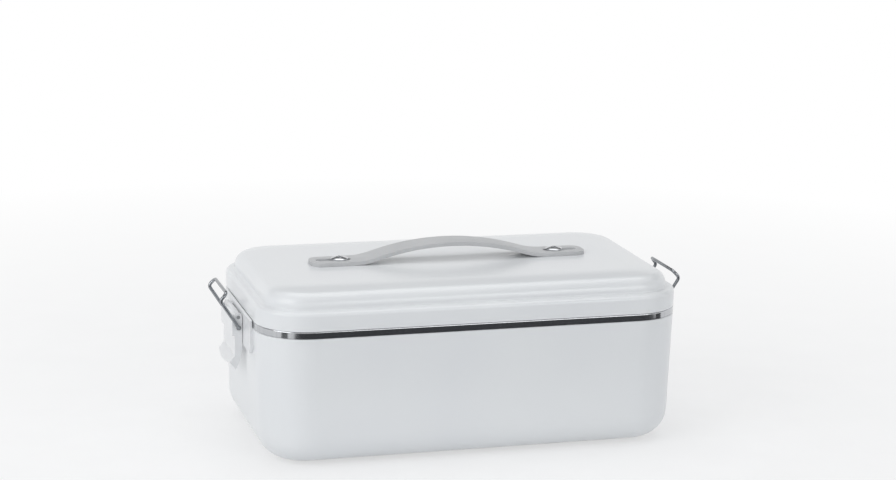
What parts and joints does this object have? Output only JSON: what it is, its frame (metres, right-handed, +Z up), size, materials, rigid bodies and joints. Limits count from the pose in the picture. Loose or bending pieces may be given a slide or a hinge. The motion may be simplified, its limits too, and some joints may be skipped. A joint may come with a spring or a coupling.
{
  "type": "electric lunch box",
  "caption": "Electric lunch box: white moulded body with heated steel pan, clear inner lid, domed outer lid with strap handle, and wire-bail latches on both short sides.",
  "frame": {"origin": "on the table, under the middle of the body", "axes": "+X along the length towards the right-hand latch, -Y towards the front, +Z up"},
  "size_m": [0.2704, 0.137, 0.109],
  "materials": {
    "white_plastic": "satin",
    "latch_plastic": "satin",
    "well_plastic": "matte",
    "black_plastic": "matte",
    "strap_plastic": "satin",
    "clear_plastic": "clear",
    "lamp_lens": "clear",
    "silicone": "matte",
    "foot_rubber": "matte",
    "lead_jacket": "matte",
    "polished_steel": "polished",
    "sheet_steel": "brushed",
    "screw_steel": "bright",
    "chrome_wire": "polished",
    "chrome_screw": "polished",
    "plate_aluminium": "turned",
    "heater_case": "extruded",
    "contact_brass": "bright"
  },
  "bodies": {
    "base": {"outer_shell": "white_plastic", "base_plate": "white_plastic", "base_screws": "screw_steel", "rubber_feet": "foot_rubber", "inner_well": "well_plastic", "heating_plate": "plate_aluminium", "plate_seal": "silicone", "ptc_heater": "heater_case", "heater_clamp": "sheet_steel", "clamp_screws": "screw_steel", "thermostat": "black_plastic", "thermal_fuse": "sheet_steel", "wiring": "lead_jacket", "power_inlet": "black_plastic", "inlet_pins": "contact_brass", "indicator_lens": "lamp_lens", "left_latch_bracket": "latch_plastic", "right_latch_bracket": "latch_plastic", "bracket_rivets": "screw_steel", "lever_pins": "sheet_steel"},
    "pan": {"food_container": "polished_steel"},
    "clear_lid": {"inner_lid": "clear_plastic", "lid_seal": "silicone"},
    "top_lid": {"outer_lid": "white_plastic", "handle_strap": "strap_plastic", "handle_screws": "chrome_screw", "handle_washers": "sheet_steel", "handle_nuts": "sheet_steel"},
    "lever_left": {"left_lever": "latch_plastic"},
    "lever_right": {"right_lever": "latch_plastic"},
    "tube_left": {"left_bail_tube": "sheet_steel"},
    "tube_right": {"right_bail_tube": "sheet_steel"},
    "bail_left": {"left_bail": "chrome_wire"},
    "bail_right": {"right_bail": "chrome_wire"}
  },
  "joints": [
    {"name": "pan_lift", "type": "slide", "parent": "base", "child": "pan", "axis": [0, 0, -1], "range_m": [-0.1, 0]},
    {"name": "clear_lid_lift", "type": "slide", "parent": "pan", "child": "clear_lid", "axis": [0, 0, 1], "range_m": [0, 0.064]},
    {"name": "top_lid_lift", "type": "slide", "parent": "clear_lid", "child": "top_lid", "axis": [0, 0, 1], "range_m": [0, 0.06]},
    {"name": "lever_left_open", "type": "hinge", "parent": "base", "child": "lever_left", "pos_m": [-0.12395, 0, 0.07405], "axis": [0, -1, 0], "range_deg": [-120, 0]},
    {"name": "lever_right_open", "type": "hinge", "parent": "base", "child": "lever_right", "pos_m": [0.12395, 0, 0.07405], "axis": [0, 1, 0], "range_deg": [-120, 0]},
    {"name": "tube_left_turn", "type": "hinge", "parent": "lever_left", "child": "tube_left", "pos_m": [-0.12375, 0, 0.06805], "axis": [0, -1, 0], "range_deg": [0, 120]},
    {"name": "tube_right_turn", "type": "hinge", "parent": "lever_right", "child": "tube_right", "pos_m": [0.12375, 0, 0.06805], "axis": [0, 1, 0], "range_deg": [0, 120]},
    {"name": "bail_left_swing", "type": "hinge", "parent": "tube_left", "child": "bail_left", "pos_m": [-0.12375, 0, 0.06805], "axis": [0, -1, 0], "range_deg": [-33, 115]},
    {"name": "bail_right_swing", "type": "hinge", "parent": "tube_right", "child": "bail_right", "pos_m": [0.12375, 0, 0.06805], "axis": [0, 1, 0], "range_deg": [-33, 115]}
  ],
  "couplings": [
    {"joint": "tube_left_turn", "follows": "lever_left_open", "ratio": -1},
    {"joint": "tube_right_turn", "follows": "lever_right_open", "ratio": -1}
  ]
}
